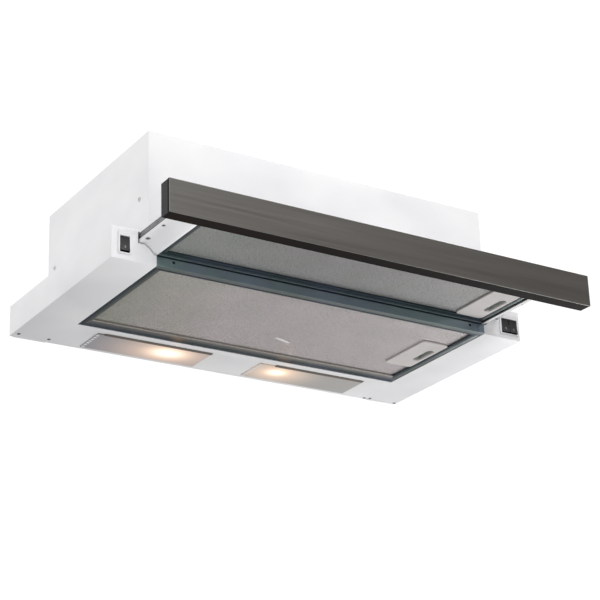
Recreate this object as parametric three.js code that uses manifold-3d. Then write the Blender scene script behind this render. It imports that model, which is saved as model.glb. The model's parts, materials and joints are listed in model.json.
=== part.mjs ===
// Telescopic under cabinet range hood, 60 cm wide. Millimetres, +Z up, front towards -Y.
// Sub-parts are drawn with Z = 0 on the underside and Y = 0 on the front face of the body.
// The finished group is moved so that its origin is the rear centre of the cabinet seat plane.
import * as THREE from 'three';
import { mergeVertices } from 'three/addons/utils/BufferGeometryUtils.js';
import Module from 'manifold-3d';

const wasm = await Module();
wasm.setup();

// Body
const HALF_W = 299;
const TRAY_D = 287.6;
const TRAY_H = 40.5;
const SHEET = 1.0;
const GAP = 0.3;
const HOUSING_X = 248.7;
const HOUSING_Y0 = 4.5;
const HOUSING_Y1 = 284.5;
const HOUSING_TOP = 176.9;
const SEAT_STEP = 0.5;
const OPENING_X = 240;
const OPENING_Y1 = 212;
const CLEAR = 1;
const ROOF_CUT = { x: 236, y0: 14, y1: 274 };
const RAIL_X = 239.6;
const RAIL_Z0 = 0.8;
const RAIL_Z1 = 12.5;
const RAIL_D = 8;

// Drawer and front panel
const TRAVEL = 121.4;
const PANEL_T = 19;
const PANEL_Z0 = 0.1;
const PANEL_Z1 = 41.2;
const DRAWER_REAR = 30;
const WING_X = 262.6;
const FILTER_X = 238.5;
const COVER_Z = 37.5;
const RUNNER_Z0 = 30.7;
const RUNNER_Z1 = 36.1;
const BAR_X = 238.3;
const BAR_Z0 = 15;
const CHANNEL_Y1 = 262;
const SLIDE_Y1 = 130;
const CAGE_Y0 = 2;
const CAGE_Y1 = 122;
const CAGE_PITCH = 15;
const CAGE_SLOTS = 8;

// Fan and outlet
const FAN_Y = 171;
const FAN_Z = 108;
const SCROLL_R = 64;
const SCROLL_X = 46;
const DUCT_Y = 144;
const DUCT_R = 60;
const DUCT_TOP = 205.2;
const DUCT_WALL = 2;
const FLANGE_HALF = 72;
const LEDGE_Z0 = 183;
const LEDGE_Z1 = 184.5;
const FLAP_Z = 185.4;
const FLAP_R = 57;
const FLAP_PIVOT = 3.4;
const INLET_R = 40;
const MOTOR_R = 32;
const WHEEL_R = 47;
const BLADES = 24;
const BRACKET_ARMS = 3;

// Lamps
const LAMP_X0 = 37;
const LAMP_X1 = 204;
const LAMP_Y0 = 226;
const LAMP_Y1 = 281;
const LAMP_TRAY_Y0 = 222;
const LAMP_TRAY_Y1 = 285.5;
const BULB_Y = 253;
const BULB_Z = 17;

// Switches, with each window as [x0, x1, z0, z1]
const BEZEL_LEFT = [-290.5, -273.4, 7, 36];
const WINDOW_LEFT = [-288.4, -275.6, 8.6, 29.4];
const BEZEL_RIGHT = [266, 297, 6, 34.6];
const WINDOW_RIGHT = [268.6, 294.4, 7.6, 27.9];
const BEZEL_WALL = 1;
const ROCKER_TILT = 8;

// Wiring
const BOX_X = [-235, -165];
const BOX_Y = [205, 275];
const BOX_Z = [60, 100];
const CAPACITOR_X = -130;
const CAPACITOR_Y = 262;
const GLAND_X = 180;
const GLAND_Y = 240;

const WHITE = { color: 0xe9e9ea, roughness: 0.4, metalness: 0.0 };
const STAINLESS = { color: 0x8a8a88, roughness: 0.32, metalness: 1.0 };
const ZINC = { color: 0x6d7c86, roughness: 0.35, metalness: 1.0 };
const STEEL = { color: 0x6a6b6c, roughness: 0.4, metalness: 1.0 };
const ALUMINIUM = { color: 0xa8a59f, roughness: 0.45, metalness: 1.0 };
const DARK_FRAME = { color: 0x3b4346, roughness: 0.45, metalness: 0.6 };
const BLACK = { color: 0x1e1e1f, roughness: 0.4, metalness: 0.0 };
const DARK_GREY = { color: 0x444445, roughness: 0.5, metalness: 0.0 };
const LIGHT_GREY = { color: 0xd2ccca, roughness: 0.5, metalness: 0.0 };
const MID_GREY = { color: 0x8c8886, roughness: 0.5, metalness: 0.0 };
const DIFFUSER = { color: 0xf0e6d8, roughness: 0.3, metalness: 0.0 };
const GLASS = { color: 0xfff4e2, roughness: 0.1, metalness: 0.0 };

/** Turns a closed three.js geometry into a solid that can be joined and cut. */
function solid(geometry) {
  geometry.deleteAttribute('normal');
  geometry.deleteAttribute('uv');
  const merged = mergeVertices(geometry, 1e-4);
  const vertProperties = new Float32Array(merged.attributes.position.array);
  const triVerts = new Uint32Array(merged.index.array);
  return new wasm.Manifold(new wasm.Mesh({ numProp: 3, vertProperties, triVerts }));
}

function block(x0, x1, y0, y1, z0, z1) {
  const geometry = new THREE.BoxGeometry(x1 - x0, y1 - y0, z1 - z0);
  geometry.translate((x0 + x1) / 2, (y0 + y1) / 2, (z0 + z1) / 2);
  return solid(geometry);
}

function rodX(y, z, r, x0, x1, segments = 48) {
  const geometry = new THREE.CylinderGeometry(r, r, x1 - x0, segments);
  geometry.rotateZ(-Math.PI / 2);
  geometry.translate((x0 + x1) / 2, y, z);
  return solid(geometry);
}

function rodZ(x, y, r, z0, z1, segments = 64) {
  const geometry = new THREE.CylinderGeometry(r, r, z1 - z0, segments);
  geometry.rotateX(Math.PI / 2);
  geometry.translate(x, y, (z0 + z1) / 2);
  return solid(geometry);
}

function outline(points) {
  return new THREE.Shape(points.map(([a, b]) => new THREE.Vector2(a, b)));
}

/** Profile given as [x, z] pairs, run along Y. */
function profileY(points, y0, y1) {
  const settings = { depth: y1 - y0, bevelEnabled: false };
  const geometry = new THREE.ExtrudeGeometry(outline(points), settings);
  geometry.rotateX(Math.PI / 2);
  geometry.translate(0, y1, 0);
  return solid(geometry);
}

/** Profile given as [y, z] pairs, run along X. */
function profileX(points, x0, x1) {
  const settings = { depth: x1 - x0, bevelEnabled: false };
  const geometry = new THREE.ExtrudeGeometry(outline(points), settings);
  const turn = new THREE.Matrix4();
  turn.makeBasis(
    new THREE.Vector3(0, 1, 0),
    new THREE.Vector3(0, 0, 1),
    new THREE.Vector3(1, 0, 0),
  );
  geometry.applyMatrix4(turn);
  geometry.translate(x0, 0, 0);
  return solid(geometry);
}

/** Profile given as [radius, height] pairs, spun about Z at (x, y). */
function spinZ(points, x, y, segments = 40) {
  const profile = points.map(([r, h]) => new THREE.Vector2(r, h));
  const geometry = new THREE.LatheGeometry(profile, segments);
  geometry.rotateX(Math.PI / 2);
  geometry.translate(x, y, 0);
  return solid(geometry);
}

/** Profile given as [radius, x] pairs, spun about the X axis through (y, z). */
function spinX(points, y, z, segments = 40) {
  const profile = points.map(([r, h]) => new THREE.Vector2(r, h));
  const geometry = new THREE.LatheGeometry(profile, segments);
  geometry.rotateZ(-Math.PI / 2);
  geometry.translate(0, y, z);
  return solid(geometry);
}

function flip(body) {
  return body.mirror([1, 0, 0]);
}

/** Shell of sheet metal: the block less the same block shrunk by the sheet on each side. */
function shell(x0, x1, y0, y1, z0, z1, t) {
  return block(x0, x1, y0, y1, z0, z1).subtract(
    block(x0 + t, x1 - t, y0 + t, y1 - t, z0 + t, z1 - t),
  );
}

const hood = new THREE.Group();

function addPiece(name, body, finish) {
  const mesh = body.getMesh();
  const indexed = new THREE.BufferGeometry();
  indexed.setAttribute('position', new THREE.BufferAttribute(mesh.vertProperties, 3));
  indexed.setIndex(new THREE.BufferAttribute(mesh.triVerts, 1));
  indexed.translate(0, -TRAY_D, -TRAY_H);
  const geometry = indexed.toNonIndexed();
  geometry.computeVertexNormals();
  const piece = new THREE.Mesh(geometry, new THREE.MeshStandardMaterial(finish));
  piece.name = name;
  hood.add(piece);
}

/** Left and right copies of a piece drawn on the +X side. */
function addPair(name, body, finish) {
  addPiece(`${name}_right`, body, finish);
  addPiece(`${name}_left`, flip(body), finish);
}

// ---------------------------------------------------------------- body

/** Front opening that the drawer slides through, with the stepped shape of its side rails. */
function mouth() {
  const half = [
    [264.2, 38.9],
    [264.2, 24.3],
    [256.1, 24.3],
    [249.9, 20.3],
    [243.1, 13.2],
    [OPENING_X, 13.2],
    [OPENING_X, -1],
  ];
  const other = half.map(([x, z]) => [-x, z]).reverse();
  return profileY([...half, ...other], -CLEAR, SHEET + 0.1);
}

/** Hole in the front ear for the sleeve of a switch surround. */
function switchHole([x0, x1, z0, z1]) {
  const wider = BEZEL_WALL + GAP;
  return block(x0 - wider, x1 + wider, -CLEAR, 2, z0 - wider, z1 + wider);
}

/** Shallow sheet-metal pan: walls, seat shoulders, filter opening and lamp openings. */
function canopyPan() {
  const lamp = block(LAMP_X0, LAMP_X1, LAMP_Y0, LAMP_Y1, -CLEAR, 2);
  const seat = HOUSING_X + GAP;
  return shell(-HALF_W, HALF_W, 0, TRAY_D, 0, TRAY_H, SHEET)
    .subtract(block(-seat, seat, -CLEAR, TRAY_D + CLEAR, TRAY_H - SEAT_STEP, TRAY_H + CLEAR))
    .subtract(block(-ROOF_CUT.x, ROOF_CUT.x, ROOF_CUT.y0, ROOF_CUT.y1, TRAY_H - 1.5, TRAY_H + CLEAR))
    .subtract(block(-OPENING_X, OPENING_X, -CLEAR, OPENING_Y1, -CLEAR, 2))
    .subtract(lamp)
    .subtract(flip(lamp))
    .subtract(mouth())
    .subtract(switchHole(WINDOW_LEFT))
    .subtract(switchHole(WINDOW_RIGHT));
}

/** Five-sided cover over the fan, open downwards onto the pan. */
function motorHousing() {
  const z0 = TRAY_H - SEAT_STEP + GAP;
  return block(-HOUSING_X, HOUSING_X, HOUSING_Y0, HOUSING_Y1, z0, HOUSING_TOP)
    .subtract(
      block(
        -HOUSING_X + SHEET,
        HOUSING_X - SHEET,
        HOUSING_Y0 + SHEET,
        HOUSING_Y1 - SHEET,
        z0 - 1,
        HOUSING_TOP - SHEET,
      ),
    )
    .subtract(rodZ(0, DUCT_Y, DUCT_R + 2, HOUSING_TOP - 3, HOUSING_TOP + 1))
    .subtract(rodZ(GLAND_X, GLAND_Y, 8.5, HOUSING_TOP - 3, HOUSING_TOP + CLEAR, 32));
}

/** Plated channel across the front of the filter opening. */
function frontRail() {
  const points = [
    [GAP, RAIL_Z0],
    [RAIL_D, RAIL_Z0],
    [RAIL_D, RAIL_Z0 + SHEET],
    [GAP + SHEET, RAIL_Z0 + SHEET],
    [GAP + SHEET, RAIL_Z1 - SHEET],
    [RAIL_D, RAIL_Z1 - SHEET],
    [RAIL_D, RAIL_Z1],
    [GAP, RAIL_Z1],
  ];
  return profileX(points, -RAIL_X, RAIL_X);
}

// ---------------------------------------------------------------- switches

/** Switch surround: a thin plate on the front ear and a sleeve through it. */
function switchBezel([x0, x1, z0, z1], [wx0, wx1, wz0, wz1]) {
  const t = BEZEL_WALL;
  const plate = block(x0, x1, -1.6, -GAP, z0, z1);
  const sleeve = block(wx0 - t, wx1 + t, -0.4, 12, wz0 - t, wz1 + t);
  return plate.add(sleeve).subtract(block(wx0, wx1, -3, 11, wz0, wz1));
}

/** Rocker key with a shallow V face, resting tipped to one side. */
function rocker(x0, x1, zMid) {
  const points = [
    [-2.2, -9.6],
    [5, -6],
    [5, 6],
    [-2.2, 9.6],
    [-1.2, 0],
  ];
  return profileX(points, x0, x1).rotate([-ROCKER_TILT, 0, 0]).translate([0, 0.2, zMid]);
}

// ---------------------------------------------------------------- lamps

/** Inverted sheet tray over the lamp opening. */
function lampHousing() {
  const t = 0.8;
  const x0 = LAMP_X0 - 4;
  const x1 = LAMP_X1 + 4;
  const top = 33;
  return block(x0, x1, LAMP_TRAY_Y0, LAMP_TRAY_Y1, SHEET + GAP, top).subtract(
    block(x0 + t, x1 - t, LAMP_TRAY_Y0 + t, LAMP_TRAY_Y1 - t, 0, top - t),
  );
}

function lampSocket() {
  const points = [
    [0, 152],
    [12, 152],
    [12, 172],
    [9, 176],
    [9, 204],
    [0, 204],
  ];
  return spinX(points, BULB_Y, BULB_Z);
}

/** Small candle bulb lying along X. */
function bulb() {
  const points = [
    [0, 62],
    [3, 63.5],
    [7.5, 72],
    [11, 84],
    [12.5, 98],
    [12, 112],
    [9, 126],
    [7, 136],
    [7, 151.7],
    [0, 151.7],
  ];
  return spinX(points, BULB_Y, BULB_Z);
}

/** Shallow diffuser cover, open upwards, with a finger slot left at its front edge. */
function lampLens() {
  const y0 = LAMP_Y0 + 3;
  const y1 = LAMP_Y1 - 0.5;
  return block(LAMP_X0 + 0.5, LAMP_X1 - 0.5, y0, y1, -0.8, 3).subtract(
    block(LAMP_X0 + 2, LAMP_X1 - 2, y0 + 1.5, y1 - 1.5, 0.8, 4),
  );
}

// ---------------------------------------------------------------- filters

/** Aluminium frame that clasps the mesh in a groove; a notch lets the latch tongue through. */
function filterFrame(f) {
  return block(-f.x, f.x, f.y0, f.y1, f.z, f.z + 9)
    .subtract(block(-f.winX, f.winX, f.winY0, f.winY1, f.z - 1, f.z + 10))
    .subtract(block(-f.x + 2, f.x - 2, f.y0 + 2, f.y1 - 2, f.z + 2.8, f.z + 7.6))
    .subtract(block(f.x - 3, f.x + 1, f.slotY - 8.6, f.slotY + 8.6, f.z + 3.2, f.z + 6.6));
}

/** Grease mesh pack, cut away around the latch pocket. */
function filterMesh(f) {
  const z0 = f.z + 3.2;
  const z1 = f.z + 7.2;
  return block(-f.x + 2.4, f.x - 2.4, f.y0 + 2.4, f.y1 - 2.4, z0, z1)
    .subtract(block(f.slotX - 16, f.slotX + 11, f.slotY - 24.4, f.slotY + 24.4, z0 - 1, z1 + 1))
    .subtract(block(f.slotX, f.x, f.slotY - 8.8, f.slotY + 8.8, z0 - 1, z1 + 1));
}

function roundedPlate(x0, x1, y0, y1, z0, z1, r) {
  const shape = new THREE.Shape();
  shape.moveTo(x0 + r, y0);
  shape.lineTo(x1 - r, y0);
  shape.absarc(x1 - r, y0 + r, r, -Math.PI / 2, 0);
  shape.lineTo(x1, y1 - r);
  shape.absarc(x1 - r, y1 - r, r, 0, Math.PI / 2);
  shape.lineTo(x0 + r, y1);
  shape.absarc(x0 + r, y1 - r, r, Math.PI / 2, Math.PI);
  shape.lineTo(x0, y0 + r);
  shape.absarc(x0 + r, y0 + r, r, Math.PI, Math.PI * 1.5);
  const settings = { depth: z1 - z0, bevelEnabled: false, curveSegments: 6 };
  const geometry = new THREE.ExtrudeGeometry(shape, settings);
  geometry.translate(0, 0, z0);
  return solid(geometry);
}

/** Long finger slot with round ends, cut through the handle plate. */
function fingerSlot(f, z0, z1) {
  const halfX = 5.5;
  const halfY = 20;
  const [x, y] = [f.slotX, f.slotY];
  return roundedPlate(x - halfX, x + halfX, y - halfY, y + halfY, z0, z1, 5);
}

/** Handle plate with its finger slot and the pocket that guides the latch. */
function filterHandle(f) {
  const z0 = f.z + 0.4;
  const z1 = z0 + 2.2;
  const pocket = block(
    f.slotX - 15.5,
    f.slotX + 9.6,
    f.slotY - 24,
    f.slotY + 24,
    z1 - 0.1,
    f.z + 8.8,
  );
  const hollow = block(
    f.slotX - 14.3,
    f.slotX + 8.6,
    f.slotY - 22.8,
    f.slotY + 22.8,
    z1,
    f.z + 7.9,
  );
  return roundedPlate(f.handleX0, f.handleX1, f.handleY0, f.handleY1, z0, z1, 5)
    .add(pocket)
    .subtract(hollow)
    .subtract(fingerSlot(f, z0 - 1, z1 + 0.1))
    .subtract(block(f.slotX + 6, f.slotX + 12, f.slotY - 8.6, f.slotY + 8.6, z1 + 0.3, f.z + 6.6));
}

/** Sliding catch: a dished finger block with a tongue that reaches the frame edge. */
function filterLatch(f) {
  const z0 = f.z + 2.9;
  const z1 = f.z + 7.6;
  return block(f.slotX - 8, f.slotX + 8, f.slotY - 20, f.slotY + 20, z0, z1)
    .subtract(block(f.slotX - 6.8, f.slotX + 6.8, f.slotY - 18, f.slotY + 18, z0 - 1, z1 - 0.9))
    .add(block(f.slotX + 7, f.x - 0.3, f.slotY - 8, f.slotY + 8, f.z + 3.6, f.z + 6.2));
}

const bodyFilter = {
  x: FILTER_X,
  y0: 9,
  y1: 211,
  z: 0.8,
  winX: 229,
  winY0: 12,
  winY1: 192,
  slotX: 219,
  slotY: 106,
  handleX0: 188,
  handleX1: 228.6,
  handleY0: 62,
  handleY1: 151,
};

const drawerFilter = {
  x: 236.5,
  y0: -106,
  y1: -1,
  z: 17,
  winX: 230.2,
  winY0: -101,
  winY1: -6,
  slotX: 219.8,
  slotY: -50,
  handleX0: 188.5,
  handleX1: 229.9,
  handleY0: -94,
  handleY1: -7,
};

function addFilter(prefix, f) {
  addPiece(`${prefix}_frame`, filterFrame(f), DARK_FRAME);
  addPiece(`${prefix}_mesh`, filterMesh(f), ALUMINIUM);
  addPiece(`${prefix}_handle`, filterHandle(f), LIGHT_GREY);
  addPiece(`${prefix}_latch`, filterLatch(f), MID_GREY);
}

// ---------------------------------------------------------------- drawer

/** Fixed outer runner, hung under the seat shoulder. */
function runnerChannel() {
  const points = [
    [263.1, 28.6],
    [267, 28.6],
    [267, 38.1],
    [282, 38.1],
    [282, 39.2],
    [265.8, 39.2],
    [265.8, 37.9],
    [263.1, 37.9],
    [263.1, 36.7],
    [265.8, 36.7],
    [265.8, 29.8],
    [263.1, 29.8],
  ];
  return profileY(points, 1.5, CHANNEL_Y1);
}

/** Ball retainer strip between the runners. */
function runnerCage() {
  let strip = block(263.4, 265.5, CAGE_Y0, CAGE_Y1, 30.1, 36.4);
  for (let i = 0; i < CAGE_SLOTS; i += 1) {
    const y = CAGE_Y0 + 7 + i * CAGE_PITCH;
    strip = strip.subtract(block(263, 266, y - 2.2, y + 2.2, 31.3, 35.2));
  }
  return strip;
}

/** Moving runner screwed to the drawer side. */
function runnerSlide() {
  const points = [
    [258.2, RUNNER_Z0],
    [WING_X, RUNNER_Z0],
    [WING_X, RUNNER_Z1],
    [258.2, RUNNER_Z1],
    [258.2, RUNNER_Z1 - 0.8],
    [261.6, RUNNER_Z1 - 0.8],
    [261.6, RUNNER_Z0 + 0.8],
    [258.2, RUNNER_Z0 + 0.8],
  ];
  return profileY(points, -TRAVEL + 2 * GAP, SLIDE_Y1);
}

/** Folded side rail of the drawer: sloped skirt, flat, lip and upright wall. */
function drawerSide() {
  const points = [
    [238.6, 14.6],
    [242.5, 14.6],
    [249.2, 21.5],
    [255.6, 25.8],
    [WING_X, 25.8],
    [WING_X, 30.1],
    [261.6, 30.1],
    [261.6, 26.8],
    [257.9, 26.8],
    [257.9, 37.2],
    [256.9, 37.2],
    [256.9, 26.8],
    [255.3, 26.8],
    [248.6, 22.3],
    [242.1, 15.6],
    [238.6, 15.6],
  ];
  return profileY(points, -TRAVEL + GAP, DRAWER_REAR);
}

/** Flat sheet that closes the drawer from above. */
function drawerTopCover() {
  return block(-WING_X + 0.1, WING_X - 0.1, -TRAVEL + GAP, DRAWER_REAR, COVER_Z, COVER_Z + SHEET);
}

/** Folded beam behind the panel that joins the two side rails. */
function drawerCrossbar() {
  const y0 = -TRAVEL + GAP;
  const y1 = y0 + 14;
  const top = COVER_Z - GAP;
  const points = [
    [y0, BAR_Z0],
    [y1, BAR_Z0],
    [y1, BAR_Z0 + SHEET],
    [y0 + SHEET, BAR_Z0 + SHEET],
    [y0 + SHEET, top - SHEET],
    [y1, top - SHEET],
    [y1, top],
    [y0, top],
  ];
  return profileX(points, -BAR_X, BAR_X);
}

/** Small upward channel across the rear of the drawer filter. */
function drawerRearRail() {
  const [y0, y1] = [0.5, 9.5];
  const top = BAR_Z0 + 10;
  const points = [
    [y0, BAR_Z0],
    [y1, BAR_Z0],
    [y1, top],
    [y1 - SHEET, top],
    [y1 - SHEET, BAR_Z0 + SHEET],
    [y0 + SHEET, BAR_Z0 + SHEET],
    [y0 + SHEET, top],
    [y0, top],
  ];
  return profileX(points, -BAR_X, BAR_X);
}

/** Stainless skin over the front of the panel. */
function frontPanel() {
  const y0 = -TRAVEL - PANEL_T;
  return block(-HALF_W, HALF_W, y0, y0 + 0.8, PANEL_Z0, PANEL_Z1);
}

/** Channel behind the skin, open to the rear so that it clears the switches when shut. */
function panelCarrier() {
  const y0 = -TRAVEL - PANEL_T + 1.1;
  const y1 = -TRAVEL;
  const z0 = PANEL_Z0 + 0.2;
  const z1 = PANEL_Z1 - 0.2;
  const t = 1.6;
  const points = [
    [y0, z0],
    [y1, z0],
    [y1, z0 + t],
    [y0 + t, z0 + t],
    [y0 + t, z1 - t],
    [y1, z1 - t],
    [y1, z1],
    [y0, z1],
  ];
  return profileX(points, -297.5, 297.5);
}

function panelEndCap() {
  return block(
    297.8,
    HALF_W,
    -TRAVEL - PANEL_T + 1.1,
    -TRAVEL,
    PANEL_Z0 + 0.2,
    PANEL_Z1 - 0.2,
  );
}

// ---------------------------------------------------------------- fan

/** Scroll casing with inlets on both sides and a neck up to the outlet. */
function scrollHousing() {
  const t = 2;
  const top = HOUSING_TOP - SHEET - GAP;
  const outer = rodX(FAN_Y, FAN_Z, SCROLL_R, -SCROLL_X, SCROLL_X)
    .add(block(-SCROLL_X, SCROLL_X, FAN_Y - SCROLL_R, 190, FAN_Z, top))
    .add(block(-DUCT_R - 2, DUCT_R + 2, 95, 202, top - t, top));
  const inner = rodX(FAN_Y, FAN_Z, SCROLL_R - t, -SCROLL_X + t, SCROLL_X - t).add(
    block(-SCROLL_X + t, SCROLL_X - t, FAN_Y - SCROLL_R + t, 190 - t, FAN_Z, top + 5),
  );
  return outer.subtract(inner).subtract(rodX(FAN_Y, FAN_Z, INLET_R, -60, 60));
}

/** Bell-mouthed ring round a fan inlet. */
function inletRing() {
  const points = [
    [38, 46.3],
    [50, 46.3],
    [50, 47.5],
    [41, 49.5],
    [38, 49.5],
    [38, 46.3],
  ];
  return spinX(points, FAN_Y, FAN_Z);
}

/** Three-armed carrier that holds the motor in the middle of the inlet. */
function motorBracket() {
  const bore = rodX(FAN_Y, FAN_Z, MOTOR_R + 0.4, 50, 60);
  let arms = rodX(FAN_Y, FAN_Z, MOTOR_R + 4, 52, 58).subtract(bore);
  for (let i = 0; i < BRACKET_ARMS; i += 1) {
    const arm = block(52, 54, -4, 4, 34, 58).add(block(SCROLL_X + GAP, 54, -4, 4, 53, 58));
    const turned = arm.rotate([90 + (i * 360) / BRACKET_ARMS, 0, 0]).translate([0, FAN_Y, FAN_Z]);
    arms = arms.add(turned);
  }
  return arms;
}

/** Drawn motor can with its shaft towards the middle. */
function motor() {
  const points = [
    [0, 8],
    [3, 8],
    [3, 50],
    [10, 50],
    [10, 54],
    [MOTOR_R - 2, 54],
    [MOTOR_R, 56],
    [MOTOR_R, 96],
    [MOTOR_R - 2, 98],
    [12, 98],
    [12, 102],
    [0, 102],
  ];
  return spinX(points, FAN_Y, FAN_Z, 32);
}

/** Forward-curved blower wheel with its hub running on the motor shaft. */
function impeller() {
  const hoop = rodX(0, 0, WHEEL_R, 40, 43).subtract(rodX(0, 0, WHEEL_R - 5, 39, 44));
  let wheel = rodX(0, 0, WHEEL_R, 4, 6).add(rodX(0, 0, 8, 5.5, 30, 32)).add(hoop);
  for (let i = 0; i < BLADES; i += 1) {
    const blade = block(5.5, 40.5, -0.6, 0.6, 39.6, 46.4).translate([0, 16, 0]);
    wheel = wheel.add(blade.rotate([(i * 360) / BLADES, 0, 0]));
  }
  const rim = rodX(0, 0, WHEEL_R, 3, 44);
  return wheel.intersect(rim).subtract(rodX(0, 0, 3.1, 0, 50, 32)).translate([0, FAN_Y, FAN_Z]);
}

/** Outlet spigot with the ledge that the damper flaps close on. */
function outletCollar() {
  const z0 = HOUSING_TOP + GAP;
  const half = FLANGE_HALF;
  const flange = block(-half, half, DUCT_Y - half, DUCT_Y + half, z0, z0 + 1.5);
  const tube = rodZ(0, DUCT_Y, DUCT_R, z0, DUCT_TOP);
  const bore = rodZ(0, DUCT_Y, DUCT_R - 4.5, z0 - CLEAR, DUCT_TOP + CLEAR);
  const upper = rodZ(0, DUCT_Y, DUCT_R - DUCT_WALL, LEDGE_Z1, DUCT_TOP + CLEAR);
  const lower = rodZ(0, DUCT_Y, DUCT_R - DUCT_WALL, z0 - CLEAR, LEDGE_Z0);
  return flange
    .add(tube)
    .subtract(bore)
    .subtract(upper)
    .subtract(lower)
    .subtract(block(-57.9, 57.9, DUCT_Y - 1.8, DUCT_Y + 1.8, 180, 190));
}

/** Bar across the outlet that carries the two flap hinges. */
function damperBridge() {
  return block(-57.6, 57.6, DUCT_Y - 1.4, DUCT_Y + 1.4, 181, 187.5);
}

/** Half-round flap with a hinge barrel along its straight edge. */
function damperFlap(side) {
  const z = FLAP_Z;
  const disc = rodZ(0, 0, FLAP_R, z - 0.6, z + 0.6);
  const half = disc.intersect(block(-DUCT_R, DUCT_R, FLAP_PIVOT, DUCT_R, z - 5, z + 5));
  const barrel = rodX(FLAP_PIVOT, z, 1.2, -54, 54, 16);
  const flap = half.add(barrel);
  return (side > 0 ? flap : flap.mirror([0, 1, 0])).translate([0, DUCT_Y, 0]);
}

// ---------------------------------------------------------------- wiring

/** Open-topped moulded box for the wire joints. */
function junctionBox() {
  const wall = 2;
  return shell(...BOX_X, ...BOX_Y, ...BOX_Z, wall).subtract(
    block(BOX_X[0] - 5, BOX_X[1] + 5, BOX_Y[0] - 5, BOX_Y[1] + 5, BOX_Z[1] - 3, BOX_Z[1] + CLEAR),
  );
}

function junctionLid() {
  const z0 = BOX_Z[1] - 3 + GAP;
  return block(...BOX_X, ...BOX_Y, z0, z0 + 2);
}

/** Motor capacitor standing on its clip. */
function capacitor() {
  const points = [
    [0, 60],
    [13, 60],
    [14.5, 61.5],
    [14.5, 108],
    [13, 109.5],
    [3, 109.5],
    [3, 114],
    [0, 114],
  ];
  return spinZ(points, CAPACITOR_X, CAPACITOR_Y, 32);
}

/** Band round the capacitor with a tab that reaches the rear wall. */
function capacitorClip() {
  const [x, y] = [CAPACITOR_X, CAPACITOR_Y];
  const [z0, z1] = [78, 90];
  return rodZ(x, y, 16.2, z0, z1, 32)
    .add(block(x - 6, x + 6, y + 14, HOUSING_Y1 - SHEET - GAP, z0, z1))
    .subtract(rodZ(x, y, 14.9, z0 - CLEAR, z1 + CLEAR, 32));
}

/** Cable entry through the top of the housing. */
function cableGland() {
  const points = [
    [4.5, 168],
    [12, 168],
    [12, 175.6],
    [8.2, 175.6],
    [8.2, 177.2],
    [12, 177.2],
    [12, 180],
    [9, 184],
    [4.5, 184],
    [4.5, 168],
  ];
  return spinZ(points, GLAND_X, GLAND_Y, 32);
}

addPiece('canopy_pan', canopyPan(), WHITE);
addPiece('motor_housing', motorHousing(), WHITE);
addPiece('front_rail', frontRail(), ZINC);
addPiece('switch_bezel_left', switchBezel(BEZEL_LEFT, WINDOW_LEFT), WHITE);
addPiece('switch_bezel_right', switchBezel(BEZEL_RIGHT, WINDOW_RIGHT), WHITE);
addPiece('rocker_left', rocker(-288, -276, 19), BLACK);
addPiece('rocker_right_inner', rocker(269, 281.2, 17.75), BLACK);
addPiece('rocker_right_outer', rocker(281.8, 294, 17.75), BLACK);
addPair('lamp_housing', lampHousing(), STEEL);
addPair('lamp_socket', lampSocket(), LIGHT_GREY);
addPair('lamp_bulb', bulb(), GLASS);
addPair('lamp_lens', lampLens(), DIFFUSER);
addFilter('body_filter', bodyFilter);
addFilter('drawer_filter', drawerFilter);
addPair('runner_channel', runnerChannel(), STEEL);
addPair('runner_cage', runnerCage(), ZINC);
addPair('runner_slide', runnerSlide(), STEEL);
addPair('drawer_side', drawerSide(), WHITE);
addPiece('drawer_top_cover', drawerTopCover(), WHITE);
addPiece('drawer_crossbar', drawerCrossbar(), STEEL);
addPiece('drawer_rear_rail', drawerRearRail(), ZINC);
addPiece('front_panel', frontPanel(), STAINLESS);
addPiece('panel_carrier', panelCarrier(), DARK_GREY);
addPair('panel_end_cap', panelEndCap(), DARK_GREY);
addPiece('scroll_housing', scrollHousing(), BLACK);
addPair('inlet_ring', inletRing(), DARK_GREY);
addPair('motor_bracket', motorBracket(), STEEL);
addPair('motor', motor(), STEEL);
addPair('impeller', impeller(), BLACK);
addPiece('outlet_collar', outletCollar(), BLACK);
addPiece('damper_bridge', damperBridge(), BLACK);
addPiece('damper_flap_rear', damperFlap(1), BLACK);
addPiece('damper_flap_front', damperFlap(-1), BLACK);
addPiece('junction_box', junctionBox(), DARK_GREY);
addPiece('junction_lid', junctionLid(), DARK_GREY);
addPiece('capacitor', capacitor(), LIGHT_GREY);
addPiece('capacitor_clip', capacitorClip(), STEEL);
addPiece('cable_gland', cableGland(), BLACK);

export default hood;
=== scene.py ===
"""Telescopic under cabinet range hood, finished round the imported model.

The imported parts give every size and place. Each visible part is rebuilt from its own solid
with folded or moulded edges, and small parts such as screws and mesh strands are added.
"""

import json
import logging
import math
from dataclasses import dataclass
from enum import Enum
from typing import Callable, Iterable, Sequence

import bmesh
import bpy
from mathutils import Matrix, Vector


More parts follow.
